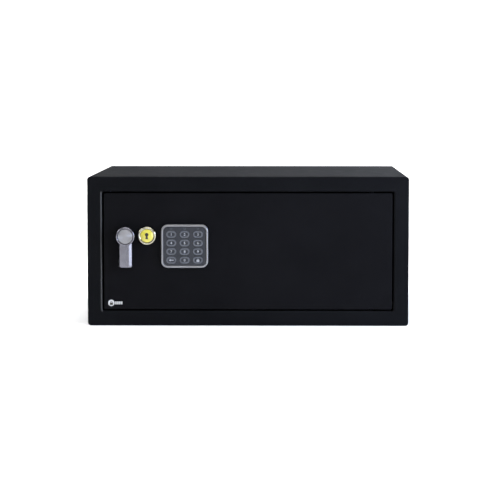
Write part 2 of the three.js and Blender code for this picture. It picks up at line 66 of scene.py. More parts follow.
EYE_X, EYE_DISTANCE, EYE_Z = 41.9 * MM, 2587.3 * MM, 320.4 * MM
AIM_X, AIM_Z = 2.8 * MM, 102.0 * MM
LENS = 139.84
eye = Vector((EYE_X, FACE_Y - EYE_DISTANCE, EYE_Z))
aim = Vector((AIM_X, FACE_Y, AIM_Z))
camera = bpy.data.objects.new("camera", bpy.data.cameras.new("camera"))
camera.data.lens = LENS
camera.data.sensor_width = 36
camera.location = eye
camera.rotation_euler = (aim - eye).to_track_quat("-Z", "Y").to_euler()
bpy.context.collection.objects.link(camera)
bpy.context.scene.camera = camera
bpy.context.scene.view_settings.view_transform = "Standard"

# The studio is a pale paper sweep that curves up into a wall. One broad soft lamp hangs over the
# safe and another washes the wall. Six smaller ones stand round the safe, and three light the
# paper far from it.
sweep = bmesh.new()
bmesh.ops.create_grid(sweep, x_segments=1, y_segments=1, size=1,
                      matrix=Matrix.Translation((0, -7, 0)) @ Matrix.Diagonal((14, 13, 1, 1)))
BEND_STEP = 0.8
WALL_RISE = 6
UPWARD = 1.57
leading = [edge for edge in sweep.edges if all(vert.co.y > 1 for vert in edge.verts)]
for lean in (0.2, 0.55, 0.9, 1.25, 1.5, UPWARD):
    grown = bmesh.ops.extrude_edge_only(sweep, edges=leading)["geom"]
    length = WALL_RISE if lean == UPWARD else BEND_STEP
    step = Vector((0, length * cos(lean), length * sin(lean)))
    bmesh.ops.translate(sweep, verts=[v for v in grown if isinstance(v, bmesh.types.BMVert)], vec=step)
    leading = [e for e in grown if isinstance(e, bmesh.types.BMEdge)]
bmesh.ops.recalc_face_normals(sweep, faces=sweep.faces)
backdrop_mesh = bpy.data.meshes.new("backdrop")
sweep.to_mesh(backdrop_mesh)
sweep.free()
backdrop_mesh.shade_smooth()
backdrop = bpy.data.objects.new("backdrop", backdrop_mesh)
bpy.context.collection.objects.link(backdrop)
backdrop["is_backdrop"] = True

paper = bpy.data.materials.new("backdrop_paper")
paper.use_nodes = True
paper_shader = paper.node_tree.nodes["Principled BSDF"]
paper_shader.inputs["Base Color"].default_value = (0.9, 0.9, 0.9, 1)
paper_shader.inputs["Roughness"].default_value = 0.9
paper_shader.inputs["Specular IOR Level"].default_value = 0.1
paper_tooth = paper.node_tree.nodes.new("ShaderNodeTexNoise")
paper_tooth.inputs["Scale"].default_value = 300
paper_relief = paper.node_tree.nodes.new("ShaderNodeBump")
paper_relief.inputs["Strength"].default_value = 0.02
paper.node_tree.links.new(paper_tooth.outputs["Fac"], paper_relief.inputs["Height"])
paper.node_tree.links.new(paper_relief.outputs["Normal"], paper_shader.inputs["Normal"])
backdrop_mesh.materials.append(paper)


def lamp(name, place, target, width, height, watts, colour):
    """A rectangular soft lamp, turned to face the target."""
    light = bpy.data.lights.new(name, "AREA")
    light.shape = "RECTANGLE"
    light.size = width
    light.size_y = height
    light.energy = watts
    light.color = colour
    holder = bpy.data.objects.new(name, light)
    holder.location = place
    holder.rotation_euler = (Vector(target) - Vector(place)).to_track_quat("-Z", "Y").to_euler()
    holder.visible_camera = False
    bpy.context.collection.objects.link(holder)


lamp("overhead", (0.3, 0.55, 2.8), (0.1, 0.6, 0), 3.2, 2.7, 152, (1, 1, 1))
lamp("wall_wash", (0, 3.0, 2.6), (0, 6.5, 0.1), 5, 1.5, 235, (1, 1, 1))
lamp("right_cool", (1.0, -1.15, 0.34), (-0.1, -0.17, 0.1), 0.7, 0.66, 9, (0.82, 0.9, 1))
lamp("left_soft", (-1.6, -0.3, 1.3), (-0.35, 0, 0), 0.8, 0.8, 14, (1, 1, 1))
lamp("right_edge", (0.95, -0.62, 0.42), (0.2, -0.19, 0.1), 0.3, 0.3, 7, (0.5, 0.64, 1))
lamp("front_left", (-1.5, -1.9, 1.9), (0, -0.17, 0.1), 0.8, 0.8, 6.5, (1, 1, 1))
lamp("front_right", (1.4, -1.9, 1.9), (0, -0.17, 0.1), 0.8, 0.8, 6.5, (1, 1, 1))
lamp("behind_right", (1.25, 2.9, 0.75), (0.15, 0, 0.2), 0.8, 0.7, 46, (0.78, 0.86, 1))
for name, x, y in (("floor_left", -8, 0), ("floor_right", 8, 0), ("floor_front", 0, -9)):
    lamp(name, (x, y, 4), (x, y, 0), 3, 3, 210, (1, 1, 1))
studio = bpy.data.worlds.new("studio")
studio.use_nodes = True
studio.node_tree.nodes["Background"].inputs["Color"].default_value = (0.92, 0.95, 1, 1)
studio.node_tree.nodes["Background"].inputs["Strength"].default_value = 0.13
bpy.context.scene.world = studio

# ---------------------------------------------------------------------------------------------
# The cabinet's top, sides and base are one sheet of 2 mm steel, folded round 4.5 mm corners and
# welded. The base has two 12 mm holes for anchor bolts. All of it is coated with black powder
# paint, baked to a fine satin texture.
SHEET = 2 * MM
FOLD_R = 4.5 * MM
UPRIGHT = Matrix.Rotation(pi / 2, 4, "X")
wrap_low, wrap_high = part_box("body_wrap")
WIDTH = wrap_high.x - wrap_low.x
HEIGHT = wrap_high.z - wrap_low.z
MID_Z = (wrap_low.z + wrap_high.z) / 2
SHARP = radians(35)
MERGE = 0.002 * MM
HELD_APART = 4 * MM


def shader_of(name, base, roughness, metallic=0.0):
    """A new material, with its shader's main values set."""
    material = bpy.data.materials.new(name)
    material.use_nodes = True
    shader = material.node_tree.nodes["Principled BSDF"]
    shader.inputs["Base Color"].default_value = (*base, 1)
    shader.inputs["Roughness"].default_value = roughness
    shader.inputs["Metallic"].default_value = metallic
    return material, shader


def noise(material, scale, detail=3, stretch=(1, 1, 1)):
    """A noise pattern on the object's own metres. Scale is its features to the metre."""
    nodes, links = material.node_tree.nodes, material.node_tree.links
    where = nodes.new("ShaderNodeTexCoord")
    mapping = nodes.new("ShaderNodeMapping")
    mapping.inputs["Scale"].default_value = stretch
    pattern = nodes.new("ShaderNodeTexNoise")
    pattern.inputs["Scale"].default_value = scale
    pattern.inputs["Detail"].default_value = detail
    links.new(where.outputs["Object"], mapping.inputs["Vector"])
    links.new(mapping.outputs["Vector"], pattern.inputs["Vector"])
    return pattern.outputs["Fac"]


def spread(material, value, low, high, start=0.3, end=0.7):
    """The pattern's values from start to end, spread over low to high."""
    span = material.node_tree.nodes.new("ShaderNodeMapRange")
    span.inputs["From Min"].default_value = start
    span.inputs["From Max"].default_value = end
    span.inputs["To Min"].default_value = low
    span.inputs["To Max"].default_value = high
    material.node_tree.links.new(value, span.inputs["Value"])
    return span.outputs["Result"]


def tint(material, shader, value, first, second):
    """Colours the surface from first to second as the value goes from 0 to 1."""
    mix = material.node_tree.nodes.new("ShaderNodeMix")
    mix.data_type = "RGBA"
    colours = [socket for socket in mix.inputs if socket.type == "RGBA"]
    colours[0].default_value = (*first, 1)
    colours[1].default_value = (*second, 1)
    material.node_tree.links.new(value, mix.inputs["Factor"])
    result = [socket for socket in mix.outputs if socket.type == "RGBA"][0]
    material.node_tree.links.new(result, shader.inputs["Base Color"])


def gloss(material, shader, value, low, high):
    """Varies the roughness from low to high with a pattern."""
    material.node_tree.links.new(spread(material, value, low, high), shader.inputs["Roughness"])


def relief(material, shader, value, height, strength=0.5):
    """Relief of the given height in metres, over any relief that is there already."""
    links = material.node_tree.links
    bumps = material.node_tree.nodes.new("ShaderNodeBump")
    bumps.inputs["Strength"].default_value = strength
    bumps.inputs["Distance"].default_value = height
    links.new(value, bumps.inputs["Height"])
    if shader.inputs["Normal"].is_linked:
        links.new(shader.inputs["Normal"].links[0].from_socket, bumps.inputs["Normal"])
    links.new(bumps.outputs["Normal"], shader.inputs["Normal"])


def powder_coat(name, base, pale, roughness):
    """Baked powder paint: orange peel over fine grit, with faint cloudy patches."""
    material, shader = shader_of(name, base, roughness)
    shader.inputs["Specular IOR Level"].default_value = 0.03
    tint(material, shader, spread(material, noise(material, 14, 4), 0, 1), base, pale)
    gloss(material, shader, noise(material, 60, 5), roughness - 0.04, roughness + 0.05)
    relief(material, shader, noise(material, 520, 2), 0.08 * MM)
    relief(material, shader, noise(material, 2600, 2), 0.025 * MM)
    return material


def loop(bm, size, radius, centre, turn=UPRIGHT, steps=6, face=False):
    """A rounded rectangle as a ring of edges, upright unless turned, with its face kept or not."""
    corners = bmesh.ops.create_grid(bm, x_segments=1, y_segments=1, size=0.5)["verts"]
    place = Matrix.Translation(centre) @ turn @ Matrix.Diagonal((*size, 1, 1))
    bmesh.ops.transform(bm, verts=corners, matrix=place)
    flat = corners[0].link_faces[0]
    others = set(bm.faces) - {flat}
    if radius > 0:
        bmesh.ops.bevel(bm, geom=corners, offset=radius, offset_type="OFFSET", segments=steps,
                        profile=0.5, affect="VERTICES", material=-1)
        flat = (set(bm.faces) - others).pop()
    edges = list(flat.edges)
    if not face:
        bmesh.ops.delete(bm, geom=[flat], context="FACES_ONLY")
    return edges


def skin(bm, rings, closed=False):
    """Walls between one ring and the next, and from the last to the first of a closed row."""
    for first, second in list(zip(rings, rings[1:])) + ([(rings[-1], rings[0])] if closed else []):
        # Two rings in one plane are held apart while they are joined, so that they pair rightly.
        held = list({vert for edge in first for vert in edge.verts})
        apart = Vector((0, 0, 0))
        for axis in range(3):
            heights = [edge.verts[0].co[axis] for edge in first + second]
            if max(heights) - min(heights) < MERGE:
                apart[axis] = HELD_APART
        bmesh.ops.translate(bm, verts=held, vec=apart)
        bmesh.ops.bridge_loops(bm, edges=list(set(first + second)))
        bmesh.ops.translate(bm, verts=held, vec=-apart)


def piece(name, bm, material, body, slot, *nodes):
    """The finished mesh as an object that rides on its body and stands for its CAD nodes."""
    bmesh.ops.remove_doubles(bm, verts=bm.verts, dist=MERGE)
    bmesh.ops.recalc_face_normals(bm, faces=bm.faces)
    mesh = bpy.data.meshes.new(name)
    bm.to_mesh(mesh)
    bm.free()
    for one in material if isinstance(material, list) else [material]:
        mesh.materials.append(one)
    mesh.shade_smooth()
    mesh.set_sharp_from_angle(angle=SHARP)
    made = bpy.data.objects.new(name, mesh)
    bpy.context.collection.objects.link(made)
    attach(made, body)
    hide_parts(*nodes)
    return made


def keep_flat(made):
    """Lets the large faces of a piece set its shading, so that they look flat up to their rolled edges."""
    flats = made.modifiers.new("flats", "WEIGHTED_NORMAL")
    flats.keep_sharp = True
    return made


def soften(made, width, segments=3):
    """Rolls every sharp edge of a finished piece over a small radius."""
    edge = made.modifiers.new("edges", "BEVEL")
    edge.width = width
    edge.segments = segments
    edge.limit_method = "ANGLE"
    edge.angle_limit = radians(30)
    return keep_flat(made)


def cut(made, tool, operation="DIFFERENCE"):
    """Cuts the tool out of the piece, or joins it on, and leaves one clean mesh."""
    bmesh.ops.remove_doubles(tool, verts=tool.verts, dist=MERGE)
    bmesh.ops.recalc_face_normals(tool, faces=tool.faces)
    tool_mesh = bpy.data.meshes.new("tool")
    tool.to_mesh(tool_mesh)
    tool.free()
    holder = bpy.data.objects.new("tool", tool_mesh)
    bpy.context.collection.objects.link(holder)
    step = made.modifiers.new("step", "BOOLEAN")
    step.operation = operation
    step.solver = "EXACT"
    step.object = holder
    bpy.context.view_layer.update()
    result = bpy.data.meshes.new_from_object(made.evaluated_get(bpy.context.evaluated_depsgraph_get()))
    made.modifiers.remove(step)
    bpy.data.objects.remove(holder)
    bpy.data.meshes.remove(tool_mesh)
    old = made.data
    made.data = result
    bpy.data.meshes.remove(old)
    result.name = made.name
    result.shade_smooth()
    result.set_sharp_from_angle(angle=SHARP)
    return made


def rod(bm, radius, start, end, steps=48):
    """A plain round bar from one point to another, for a hole or a stem."""
    start, end = Vector(start), Vector(end)
    along = end - start
    place = Matrix.Translation((start + end) / 2) @ along.to_track_quat("Z", "Y").to_matrix().to_4x4()
    bmesh.ops.create_cone(bm, cap_ends=True, segments=steps, radius1=radius, radius2=radius,
                          depth=along.length, matrix=place)
    return bm


cabinet_coat = powder_coat("cabinet_coat", (0.0045, 0.0048, 0.0057), (0.0059, 0.0062, 0.0073), 0.84)

wrap = bmesh.new()
rings = []
REAR_EASE = 0.5 * MM
EASE_MIDDLE = 0.15 * MM
for y, inset in ((wrap_low.y, 0), (wrap_high.y - REAR_EASE, 0), (wrap_high.y - EASE_MIDDLE, EASE_MIDDLE),
                 (wrap_high.y, REAR_EASE), (wrap_high.y, SHEET), (wrap_low.y, SHEET)):
    size = (WIDTH - 2 * inset, HEIGHT - 2 * inset)
    rings.append(loop(wrap, size, FOLD_R - inset, (0, y, MID_Z), steps=10))
skin(wrap, rings, closed=True)
cabinet_wrap = piece("cabinet_wrap", wrap, cabinet_coat, "cabinet", "cabinet_paint", "body_wrap")
ANCHOR_R = 6 * MM
ANCHOR_X = 120 * MM
for x in (-ANCHOR_X, ANCHOR_X):
    cut(cabinet_wrap, rod(bmesh.new(), ANCHOR_R, (x, 0, -5 * MM), (x, 0, 5 * MM)))

# The back panel is a separate 2 mm sheet, let half a millimetre into the wrap and welded all
# round from inside. It has two more anchor holes at mid height and the same paint.


def plate(bm, low, high, radius, ease=0.0, steps=6):
    """An upright plate with rounded corners, its front edge eased over a quarter round."""
    middle = (low + high) / 2
    width, height = high.x - low.x, high.z - low.z
    rings = [loop(bm, (width, height), radius, (middle.x, high.y, middle.z), steps=steps, face=True)]
    rounds = 4 if ease else 0
    for i in range(rounds + 1):
        lean = radians(90 * i / rounds) if rounds else 0
        inset = ease * (1 - cos(lean))
        y = low.y + ease * (1 - sin(lean))
        rings.append(loop(bm, (width - 2 * inset, height - 2 * inset), radius - inset,
                          (middle.x, y, middle.z), steps=steps, face=(i == rounds)))
    skin(bm, rings)
    return bm


panel_low, panel_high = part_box("back_panel")
WELD = Vector((0.31 * MM, 0, 0.31 * MM))
INSET = Vector((0, 0.5 * MM, 0))
panel = plate(bmesh.new(), panel_low - WELD, panel_high + WELD - INSET, FOLD_R - SHEET)
back_wall = piece("back_wall", panel, cabinet_coat, "cabinet", "cabinet_paint", "back_panel")
for x in (-ANCHOR_X, ANCHOR_X):
    before, behind = (x, panel_low.y - 5 * MM, MID_Z), (x, panel_high.y + 5 * MM, MID_Z)
    cut(back_wall, rod(bmesh.new(), ANCHOR_R, before, behind))
soften(back_wall, 0.3 * MM, 2)

# The front frame is pressed from the same sheet. Its outer edge turns back over a tight radius
# to meet the wrap, and its inner edge rolls into a return lip round the opening. Only the roll at
# the opening's left takes a glossier, slightly paler paint: a painted highlight where the right-hand lamp
# catches it.
BORDER = 20 * MM
OUTER_ROLL = 1.6 * MM
INNER_ROLL = 2.4 * MM
OPENING_R = 2.5 * MM
LIP_END = frame_high.y
SKIRT_END = wrap_low.y


def quarter(steps=6):
    """Sine and cosine of each step of a quarter turn."""
    return [(sin(radians(90 * i / steps)), cos(radians(90 * i / steps))) for i in range(steps + 1)]


profile = [(0, SKIRT_END, FOLD_R)]
for s, c in quarter():
    inset = OUTER_ROLL * (1 - c)
    profile.append((inset, FACE_Y + OUTER_ROLL * (1 - s), FOLD_R - inset))
for s, c in quarter():
    inset = BORDER - INNER_ROLL * (1 - s)
    profile.append((inset, FACE_Y + INNER_ROLL * (1 - c), OPENING_R + BORDER - inset))
profile += [
    (BORDER, LIP_END, OPENING_R),
    (BORDER - SHEET, LIP_END, OPENING_R + SHEET),
    (BORDER - SHEET, FACE_Y + SHEET, OPENING_R + SHEET),
    (SHEET, FACE_Y + SHEET, FOLD_R - SHEET),
    (SHEET, SKIRT_END, FOLD_R - SHEET),
]
# A glossier, slightly paler copy of the cabinet paint, used as a painted highlight on the left roll only.
left_roll_highlight_coat = powder_coat("left_roll_highlight_coat", (0.0050, 0.0053, 0.0062), (0.0066, 0.0069, 0.0079), 0.3)
left_roll_highlight_coat.node_tree.nodes["Principled BSDF"].inputs["Specular IOR Level"].default_value = 0.5
rim = bmesh.new()
rings = [loop(rim, (WIDTH - 2 * inset, HEIGHT - 2 * inset), radius, (0, y, MID_Z), steps=8)
         for inset, y, radius in profile]
skin(rim, rings, closed=True)
opening = Vector((WIDTH / 2 - BORDER, 0, HEIGHT / 2 - BORDER))
# Faces on the roll at the opening's left take the paler paint as a painted highlight; all others take the
# cabinet paint.
for part in rim.faces:
    spot = part.calc_center_median() - Vector((0, 0, MID_Z))
    beside = max(abs(spot.x) - opening.x, abs(spot.z) - opening.z)
    on_roll = 0 <= beside < INNER_ROLL and FACE_Y < spot.y < FACE_Y + INNER_ROLL
    part.material_index = 1 if on_roll and spot.x < -opening.x and spot.z < opening.z else 0
front_rim = piece("front_rim", rim, [cabinet_coat, left_roll_highlight_coat], "cabinet", "cabinet_paint", "front_frame")


def middle_of(node):
    """The middle of a CAD node's box."""
    low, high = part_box(node)
    return (low + high) / 2


HINGE = middle_of("hinge_pin_upper")
HINGE.z = 0
PIN_HOLE_R = 3.3 * MM
LOWER_HOLE, UPPER_HOLE = (17 * MM, 23 * MM), (177 * MM, 183 * MM)
for low, high in (LOWER_HOLE, UPPER_HOLE):
    cut(front_rim, rod(bmesh.new(), PIN_HOLE_R, HINGE + Vector((0, 0, low)), HINGE + Vector((0, 0, high))))
keep_flat(front_rim)

# ---------------------------------------------------------------------------------------------
# A needled felt mat is cut to the floor of the safe and laid loose on it. It has a round hole
# over each anchor hole.
FLAT = Matrix.Identity(4)
mat_low, mat_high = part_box("floor_mat")
felt, felt_shader = shader_of("grey_felt", (0.045, 0.047, 0.05), 0.95)
felt_shader.inputs["Specular IOR Level"].default_value = 0.1
felt_shader.inputs["Sheen Weight"].default_value = 0.35
felt_shader.inputs["Sheen Roughness"].default_value = 0.5
fibres = spread(felt, noise(felt, 900, 6), 0, 1)
tint(felt, felt_shader, fibres, (0.032, 0.034, 0.037), (0.075, 0.077, 0.08))
relief(felt, felt_shader, noise(felt, 1400, 5, (1, 0.35, 1)), 0.5 * MM)
relief(felt, felt_shader, noise(felt, 35, 3), 0.8 * MM, 0.3)

mat = bmesh.new()
mat_size = Vector((mat_high.x - mat_low.x, mat_high.y - mat_low.y))
MAT_EASE = 0.6 * MM
MAT_CORNER = 4 * MM
MAT_HOLE_R = 8 * MM
rings = []
for z, inset, face in ((mat_low.z, 0, True), (mat_high.z - MAT_EASE, 0, False),
                       (mat_high.z - 0.2 * MM, 0.2 * MM, False), (mat_high.z, MAT_EASE, True)):
    centre = ((mat_low.x + mat_high.x) / 2, (mat_low.y + mat_high.y) / 2, z)
    size = (mat_size.x - 2 * inset, mat_size.y - 2 * inset)
    rings.append(loop(mat, size, MAT_CORNER - inset, centre, FLAT, face=face))
skin(mat, rings)
felt_mat = piece("felt_mat", mat, felt, "cabinet", "felt", "floor_mat")
for x in (-ANCHOR_X, ANCHOR_X):
    cut(felt_mat, rod(bmesh.new(), MAT_HOLE_R, (x, 0, mat_low.z - 2 * MM), (x, 0, mat_high.z + 2 * MM)))

# ---------------------------------------------------------------------------------------------
# Two steel pins, welded into blocks behind the frame's lip, carry the door. A flat arm on the
# back of the door turns on each pin. All are steel with a dark phosphate finish.


def metal(name, base, pale, roughness, grain, stretch=(1, 1, 1), height=0.01):
    """Bare or plated metal with a fine directional grain and a few duller patches."""
    material, shader = shader_of(name, base, roughness, 1.0)
    streaks = noise(material, grain, 4, stretch)
    tint(material, shader, spread(material, streaks, 0, 1), base, pale)
    gloss(material, shader, noise(material, 90, 5), roughness * 0.8, roughness * 1.25)
    relief(material, shader, streaks, height * MM, 0.3)
    return material


def turned(outline, origin, along=(0, 1, 0), steps=64):
    """A lathe-turned bmesh from (radius, place, corner radius) in mm, along an axis from origin."""
    bm = bmesh.new()
    points = [bm.verts.new((radius * MM, 0, place * MM)) for radius, place, _ in outline]
    for pair in zip(points, points[1:]):
        bm.edges.new(pair)
    for point, (_, _, corner) in zip(points, outline):
        if corner:
            bmesh.ops.bevel(bm, geom=[point], offset=corner * MM, offset_type="OFFSET", segments=5,
                            profile=0.5, affect="VERTICES", material=-1)
    bmesh.ops.spin(bm, geom=bm.verts[:] + bm.edges[:], cent=(0, 0, 0), axis=(0, 0, 1),
                   angle=2 * pi, steps=steps, use_merge=True)
    bmesh.ops.remove_doubles(bm, verts=bm.verts, dist=MERGE)
    place = Matrix.Translation(origin) @ Vector(along).to_track_quat("Z", "Y").to_matrix().to_4x4()
    bmesh.ops.transform(bm, verts=bm.verts, matrix=place)
    return bm


def eased_copy(name, node, material, body, slot, width=0.4 * MM):
    """A CAD node's own shape with its loose triangles merged and its edges rolled over."""
    bm = bmesh.new()
    bm.from_mesh(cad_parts[node].data)
    bmesh.ops.remove_doubles(bm, verts=bm.verts, dist=MERGE)
    bmesh.ops.dissolve_limit(bm, angle_limit=radians(1), verts=bm.verts, edges=bm.edges)
    return soften(piece(name, bm, material, body, slot, node), width)


PIN_R = 3
dark_steel = metal("dark_steel", (0.007, 0.007, 0.008), (0.013, 0.013, 0.015), 0.55, 260, (1, 1, 0.4), 0.02)
for side in ("upper", "lower"):
    eased_copy(f"pin_block_{side}", f"hinge_block_{side}", dark_steel, "cabinet", "plain_steel")
    eased_copy(f"door_arm_{side}", f"hinge_arm_{side}", dark_steel, "door", "plain_steel", 0.6 * MM)
    low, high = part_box(f"hinge_pin_{side}")
    foot, top = low.z / MM, high.z / MM
    pin = turned([(0, foot, 0), (PIN_R, foot, 0.5), (PIN_R, top, 0.5), (0, top, 0)], HINGE, (0, 0, 1), 48)
    piece(f"door_pin_{side}", pin, dark_steel, "cabinet", "plain_steel", f"hinge_pin_{side}")

# ---------------------------------------------------------------------------------------------
# The door is a plate of 4 mm steel with its front edges eased, bored for the spindle, the key
# cylinder and the keypad's lead. It has the same powder paint, a shade closer to pure black.
door_low, door_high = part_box("door_plate")
DOOR_Y = door_low.y
door_coat = powder_coat("door_coat", (0.0045, 0.0045, 0.0054), (0.0058, 0.0058, 0.0069), 0.78)


def on_door(point):
    """The point's place across the door, at the door's face."""
    return Vector((point.x, DOOR_Y, point.z))


knob_axis = on_door(middle_of("knob_face"))
cap_axis = on_door(middle_of("cap_ring"))
keypad_centre = on_door(middle_of("keypad_bezel"))
lead_hole = keypad_centre + Vector((19 * MM, 0, -14 * MM))
DOOR_EASE = 0.9 * MM
BUSH_HOLE_R, CYLINDER_HOLE_R, LEAD_HOLE_R = 6.3 * MM, 10 * MM, 5 * MM
leaf = plate(bmesh.new(), door_low, door_high, OPENING_R, DOOR_EASE)
door_leaf = piece("door_leaf", leaf, door_coat, "door", "door_paint", "door_plate")
BEFORE_DOOR, BEHIND_DOOR = Vector((0, -1 * MM, 0)), Vector((0, 6 * MM, 0))
for axis, radius in ((knob_axis, BUSH_HOLE_R), (cap_axis, CYLINDER_HOLE_R), (lead_hole, LEAD_HOLE_R)):
    cut(door_leaf, rod(bmesh.new(), radius, axis + BEFORE_DOOR, axis + BEHIND_DOOR))
keep_flat(door_leaf)

# A small sign is screen-printed in white ink at the door's lower left: a disc with a padlock
# left dark in it, then four upright bars.
white_print, white_shader = shader_of("white_print", (0.55, 0.55, 0.55), 0.5)
gloss(white_print, white_shader, noise(white_print, 1800, 3), 0.4, 0.6)
relief(white_print, white_shader, noise(white_print, 2500, 2), 0.01 * MM)
dark_print, dark_shader = shader_of("dark_print", (0.02, 0.017, 0.008), 0.45)
gloss(dark_print, dark_shader, noise(dark_print, 2400, 2), 0.38, 0.55)
relief(dark_print, dark_shader, noise(dark_print, 3000, 2), 0.01 * MM)

SIGN = Vector((-183.3 * MM, DOOR_Y, 30.4 * MM))
DISC_R = 4.3 * MM
BAR_W, BAR_H, BAR_START, BAR_PITCH = 2.0, 3.9, 6.1, 2.6
INK_NEAR, INK_FAR = -0.08, 0.05


def ink(bm, width, height, radius, at, near, far):
    """A printed patch with rounded corners, at a place in mm from the sign's middle."""
    low = at + Vector((-width / 2 * MM, near * MM, -height / 2 * MM))
    high = at + Vector((width / 2 * MM, far * MM, height / 2 * MM))
    return plate(bm, low, high, radius * MM, steps=4)


disc_ends = (SIGN + Vector((0, INK_NEAR * MM, 0)), SIGN + Vector((0, INK_FAR * MM, 0)))
ground = rod(bmesh.new(), DISC_R, *disc_ends, 64)
for i in range(4):
    bar_middle = SIGN + Vector(((BAR_START + BAR_PITCH * i) * MM, 0, 0))
    ink(ground, BAR_W, BAR_H, 0.5, bar_middle, INK_NEAR, INK_FAR)
piece("sign_ground", ground, white_print, "door", "door_paint")


def padlock(scale, at, near, far):
    """A printed padlock: a round-cornered body under an arched shackle."""
    body = at + Vector((0, 0, -1.0 * scale * MM))
    bm = ink(bmesh.new(), 3.6 * scale, 2.7 * scale, 0.4 * scale, body, near, far)
    bar, reach, spring_line = 0.55 * scale * MM, 0.95 * scale * MM, 0.3 * scale * MM
    thick = (far - near) * MM
    end = bmesh.ops.create_grid(bm, x_segments=1, y_segments=1, size=0.5)["verts"]
    foot_middle = Matrix.Translation(at + Vector((reach + bar / 2, near * MM + thick / 2, spring_line)))
    bmesh.ops.transform(bm, verts=end, matrix=foot_middle @ Matrix.Diagonal((bar, thick, 1, 1)))
    foot = end[0].link_faces[0]
    bmesh.ops.spin(bm, geom=[*end, *foot.edges, foot], cent=at + Vector((0, 0, spring_line)),
                   axis=(0, -1, 0), angle=pi, steps=20, use_duplicate=False)
    return bm


piece("sign_padlock", padlock(1.15, SIGN, -0.14, -0.02), dark_print, "door", "door_paint")

# ---------------------------------------------------------------------------------------------
# The knob is a zinc casting in satin chrome: a round hub with a raised rim, and a straight lever
# that hangs from it, its bevel broad on the right and narrow on the left. A turned disc, bright
# from the lathe, is let into the hub.
satin_chrome = metal("satin_chrome", (0.188, 0.186, 0.214), (0.218, 0.216, 0.247), 0.22, 2400,
                     (1, 1, 0.06), 0.0015)
LEVER_W, LEVER_H = 17.4, 42.2
hub = turned([(0, -17.4, 0), (10.1, -17.4, 0.2), (10.6, -19, 0.35), (12.2, -19, 0.7), (12.5, -17.3, 0.3),
              (12.5, -3.1, 0.4), (0, -3.1, 0)], knob_axis, steps=96)
lever_knob = piece("lever_knob", hub, satin_chrome, "knob", "bright_chrome", "knob_handle")
lever = bmesh.new()
rings = []
# Each ring of the lever, from back to front, has its place, its insets and its corner radius.
for y, left, right, end, radius in ((-7, 0.5, 0.5, 0.5, 2.2), (-7.5, 0, 0, 0, 2.6), (-14.2, 0, 0, 0, 2.6),
                                    (-14.6, 0.1, 0.12, 0.12, 2.55), (-14.9, 0.3, 0.4, 0.3, 2.5),
                                    (-16.5, 1.4, 3.2, 0.7, 2.3), (-16.85, 1.8, 3.8, 1.0, 2.1),
                                    (-17.0, 2.4, 4.5, 1.5, 1.8)):
    size = ((LEVER_W - left - right) * MM, (LEVER_H - 2 * end) * MM)
    centre = knob_axis + Vector(((left - right) / 2 * MM, y * MM, -LEVER_H / 2 * MM))
    rings.append(loop(lever, size, radius * MM, centre, steps=8, face=(y in (-7, -17.0))))
skin(lever, rings)
cut(lever_knob, lever, "UNION")
BORE_R, BORE_END = 4.3 * MM, -15.8 * MM
cut(lever_knob, rod(bmesh.new(), BORE_R, knob_axis + Vector((0, BORE_END, 0)), knob_axis))
keep_flat(lever_knob)

turned_metal, turned_shader = shader_of("turned_metal", (0.32, 0.32, 0.34), 0.3, 1.0)
turned_shader.inputs["Anisotropic"].default_value = 0.95
turned_shader.inputs["Anisotropic Rotation"].default_value = 0.25
tangent = turned_metal.node_tree.nodes.new("ShaderNodeTangent")
tangent.direction_type = "RADIAL"
tangent.axis = "Y"
turned_metal.node_tree.links.new(tangent.outputs["Tangent"], turned_shader.inputs["Tangent"])


def tool_rings(material, shader, centre, pitch, height):
    """The fine rings that a lathe tool leaves round the centre."""
    nodes, links = material.node_tree.nodes, material.node_tree.links
    where = nodes.new("ShaderNodeTexCoord")
    place = nodes.new("ShaderNodeMapping")
    place.inputs["Location"].default_value = (-centre.x, 0, -centre.z)
    place.inputs["Scale"].default_value = (1, 0, 1)
    reach = nodes.new("ShaderNodeVectorMath")
    reach.operation = "LENGTH"
    turns = nodes.new("ShaderNodeMath")
    turns.operation = "MULTIPLY"
    turns.inputs[1].default_value = 1 / pitch
    grooves = nodes.new("ShaderNodeTexNoise")
    grooves.noise_dimensions = "1D"
    grooves.inputs["Scale"].default_value = 1
    grooves.inputs["Detail"].default_value = 2
    links.new(where.outputs["Object"], place.inputs["Vector"])
    links.new(place.outputs["Vector"], reach.inputs[0])
    links.new(reach.outputs["Value"], turns.inputs[0])
    links.new(turns.outputs["Value"], grooves.inputs["W"])
    value = grooves.outputs["Fac"]
    base = tuple(shader.inputs["Base Color"].default_value)[:3]
    tint(material, shader, spread(material, value, 0, 1), base, [min(1, c * 1.3) for c in base])
    gloss(material, shader, value, 0.36, 0.5)
    relief(material, shader, value, height)


tool_rings(turned_metal, turned_shader, knob_axis, 0.25 * MM, 0.02 * MM)
disc = turned([(0, -18.3, 0), (9.2, -18.3, 0.2), (9.8, -17.9, 0), (9.8, -17.7, 0), (0, -17.7, 0)],
              knob_axis, steps=96)
piece("knob_disc", disc, turned_metal, "knob", "turned_face", "knob_face")

# A flanged bush in the door carries the steel spindle, which has a cam disc at its inner end.
collar = turned([(4.3, -2.8, 0), (11, -2.8, 0.4), (11, -0.3, 0), (6, -0.3, 0), (6, 6.5, 0.3), (4.3, 6.5, 0),
                 (4.3, -2.8, 0)], knob_axis)
piece("spindle_collar", collar, satin_chrome, "door", "bright_chrome", "spindle_bush")
zinc_plate = metal("zinc_plate", (0.36, 0.37, 0.38), (0.46, 0.47, 0.49), 0.4, 260, (1, 1, 0.4), 0.02)
spindle = turned([(0, -15.5, 0), (4, -15.5, 0.4), (4, 11, 0.4), (0, 11, 0)], knob_axis, steps=40)
piece("spindle_stem", spindle, zinc_plate, "knob", "plain_steel", "knob_spindle")
eased_copy("spindle_cam", "cam_disc", zinc_plate, "knob", "plain_steel")
